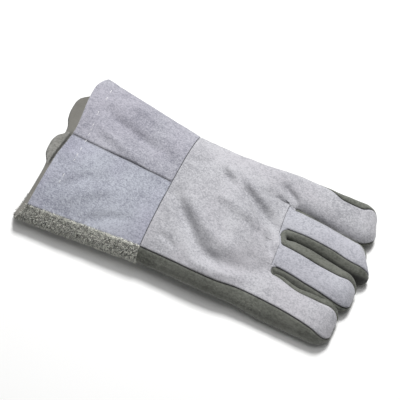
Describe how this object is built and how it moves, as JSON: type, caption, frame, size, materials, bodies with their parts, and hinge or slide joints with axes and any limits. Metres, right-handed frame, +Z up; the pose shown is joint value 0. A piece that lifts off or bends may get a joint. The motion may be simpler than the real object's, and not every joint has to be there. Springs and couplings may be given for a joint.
{
  "type": "welding gauntlet",
  "caption": "long leather work glove for a right hand, with a flared cuff, lying on its palm with the thumb tucked under it, hollow and open at the cuff",
  "frame": {"origin": "middle of the glove's footprint, on the floor that its palm lies on", "axes": "+X from the cuff's mouth to the fingertips, +Y from the little finger to the index finger, +Z up from the palm to the back"},
  "size_m": [0.3528, 0.1858, 0.037],
  "materials": {
    "hand_suede": "light grey split leather with a short nap",
    "finger_suede": "light lavender grey split leather with a short nap",
    "cuff_suede": "blue grey split leather with a short nap",
    "palm_leather": "smooth olive grey leather",
    "rough_split": "coarse olive grey split leather with a long rough nap"
  },
  "bodies": {
    "root": {"hand_back": "hand_suede", "middle_ring_back": "finger_suede", "palm": "palm_leather", "thumb": "palm_leather", "fourchette_little_ring": "palm_leather", "fourchette_ring_middle": "palm_leather", "fourchette_middle_index": "palm_leather", "cuff_back_upper": "cuff_suede", "cuff_back_lower": "cuff_suede", "cuff_palm": "rough_split"}
  },
  "joints": []
}
